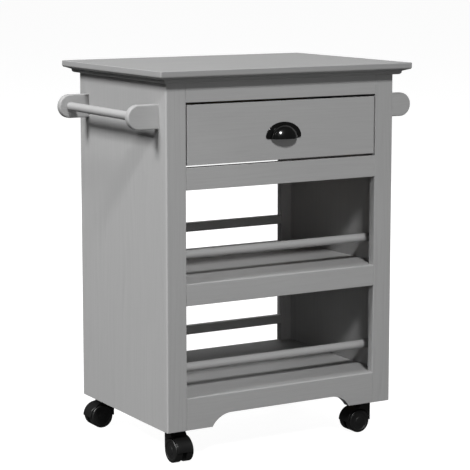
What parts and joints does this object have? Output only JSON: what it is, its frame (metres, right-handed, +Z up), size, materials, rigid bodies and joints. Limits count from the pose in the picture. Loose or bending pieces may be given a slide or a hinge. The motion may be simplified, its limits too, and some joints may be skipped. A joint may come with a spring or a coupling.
{
  "type": "kitchen island cart",
  "caption": "Painted pine kitchen cart on swivel castors, with a worktop, a drawer with a cup pull, open shelves with gallery rails and side towel rails.",
  "frame": {"origin": "on the floor, under the middle of the cart", "axes": "+Z up, -Y towards the drawer front, +X to the right as seen from the front"},
  "size_m": [0.681, 0.45, 0.8],
  "materials": {
    "painted_pine": "satin grey paint over solid pine",
    "bare_pine": "sanded bare pine",
    "hardboard": "smooth hardboard",
    "dowel_beech": "turned beech",
    "pull_black": "gloss black",
    "zinc_screws": "zinc plated",
    "zinc_plate": "zinc plated",
    "axle_steel": "plain steel",
    "castor_hood": "satin black moulded plastic",
    "castor_wheel": "satin black moulded plastic"
  },
  "bodies": {
    "cart": {"tabletop": "painted_pine", "front_stile_left": "painted_pine", "front_stile_right": "painted_pine", "back_stile_left": "painted_pine", "back_stile_right": "painted_pine", "side_panel_left": "painted_pine", "side_panel_right": "painted_pine", "top_rail": "painted_pine", "middle_rail": "painted_pine", "shelf_rail_front": "painted_pine", "bottom_rail_front": "painted_pine", "back_panel": "painted_pine", "shelf_rail_back": "painted_pine", "bottom_rail_back": "painted_pine", "upper_shelf": "painted_pine", "lower_shelf": "painted_pine", "gallery_rod_upper_front": "painted_pine", "gallery_rod_lower_front": "painted_pine", "gallery_bar_upper_back": "painted_pine", "gallery_bar_lower_back": "painted_pine", "towel_bracket_left_front": "painted_pine", "towel_bracket_left_back": "painted_pine", "towel_bracket_right_front": "painted_pine", "towel_bracket_right_back": "painted_pine", "towel_rod_left": "painted_pine", "towel_rod_right": "painted_pine", "shelf_cleats": "bare_pine", "drawer_runner_left": "bare_pine", "drawer_runner_right": "bare_pine", "top_blocks": "bare_pine", "castor_blocks": "bare_pine", "castor_plates": "zinc_plate", "castor_kingpins": "zinc_plate", "castor_screws": "zinc_screws", "wood_screws": "zinc_screws", "frame_dowels": "dowel_beech"},
    "drawer": {"drawer_front": "painted_pine", "drawer_side_left": "bare_pine", "drawer_side_right": "bare_pine", "drawer_back": "bare_pine", "drawer_bottom": "hardboard", "drawer_dowels": "dowel_beech", "cup_pull": "pull_black", "cup_pull_screws": "zinc_screws"},
    "castor_front_left": {"castor_hood_front_left": "castor_hood", "castor_axle_front_left": "axle_steel"},
    "wheel_front_left_a": {"castor_wheel_front_left_a": "castor_wheel"},
    "wheel_front_left_b": {"castor_wheel_front_left_b": "castor_wheel"},
    "castor_front_right": {"castor_hood_front_right": "castor_hood", "castor_axle_front_right": "axle_steel"},
    "wheel_front_right_a": {"castor_wheel_front_right_a": "castor_wheel"},
    "wheel_front_right_b": {"castor_wheel_front_right_b": "castor_wheel"},
    "castor_back_left": {"castor_hood_back_left": "castor_hood", "castor_axle_back_left": "axle_steel"},
    "wheel_back_left_a": {"castor_wheel_back_left_a": "castor_wheel"},
    "wheel_back_left_b": {"castor_wheel_back_left_b": "castor_wheel"},
    "castor_back_right": {"castor_hood_back_right": "castor_hood", "castor_axle_back_right": "axle_steel"},
    "wheel_back_right_a": {"castor_wheel_back_right_a": "castor_wheel"},
    "wheel_back_right_b": {"castor_wheel_back_right_b": "castor_wheel"}
  },
  "joints": [
    {"name": "drawer_slide", "type": "slide", "parent": "cart", "child": "drawer", "axis": [0, -1, 0], "range_m": [0, 0.24]},
    {"name": "castor_front_left_swivel", "type": "hinge", "parent": "cart", "child": "castor_front_left", "pos_m": [-0.2305, -0.148, 0.055], "axis": [0, 0, 1], "continuous": true},
    {"name": "wheel_front_left_a_spin", "type": "hinge", "parent": "castor_front_left", "child": "wheel_front_left_a", "pos_m": [-0.2305, -0.166, 0.025], "axis": [1, 0, 0], "continuous": true},
    {"name": "wheel_front_left_b_spin", "type": "hinge", "parent": "castor_front_left", "child": "wheel_front_left_b", "pos_m": [-0.2305, -0.166, 0.025], "axis": [1, 0, 0], "continuous": true},
    {"name": "castor_front_right_swivel", "type": "hinge", "parent": "cart", "child": "castor_front_right", "pos_m": [0.2305, -0.148, 0.055], "axis": [0, 0, 1], "continuous": true},
    {"name": "wheel_front_right_a_spin", "type": "hinge", "parent": "castor_front_right", "child": "wheel_front_right_a", "pos_m": [0.2125, -0.148, 0.025], "axis": [0, 1, 0], "continuous": true},
    {"name": "wheel_front_right_b_spin", "type": "hinge", "parent": "castor_front_right", "child": "wheel_front_right_b", "pos_m": [0.2125, -0.148, 0.025], "axis": [0, 1, 0], "continuous": true},
    {"name": "castor_back_left_swivel", "type": "hinge", "parent": "cart", "child": "castor_back_left", "pos_m": [-0.2305, 0.169, 0.055], "axis": [0, 0, 1], "continuous": true},
    {"name": "wheel_back_left_a_spin", "type": "hinge", "parent": "castor_back_left", "child": "wheel_back_left_a", "pos_m": [-0.2485, 0.169, 0.025], "axis": [0, 1, 0], "continuous": true},
    {"name": "wheel_back_left_b_spin", "type": "hinge", "parent": "castor_back_left", "child": "wheel_back_left_b", "pos_m": [-0.2485, 0.169, 0.025], "axis": [0, 1, 0], "continuous": true},
    {"name": "castor_back_right_swivel", "type": "hinge", "parent": "cart", "child": "castor_back_right", "pos_m": [0.2305, 0.169, 0.055], "axis": [0, 0, 1], "continuous": true},
    {"name": "wheel_back_right_a_spin", "type": "hinge", "parent": "castor_back_right", "child": "wheel_back_right_a", "pos_m": [0.2125, 0.169, 0.025], "axis": [0, 1, 0], "continuous": true},
    {"name": "wheel_back_right_b_spin", "type": "hinge", "parent": "castor_back_right", "child": "wheel_back_right_b", "pos_m": [0.2125, 0.169, 0.025], "axis": [0, 1, 0], "continuous": true}
  ]
}
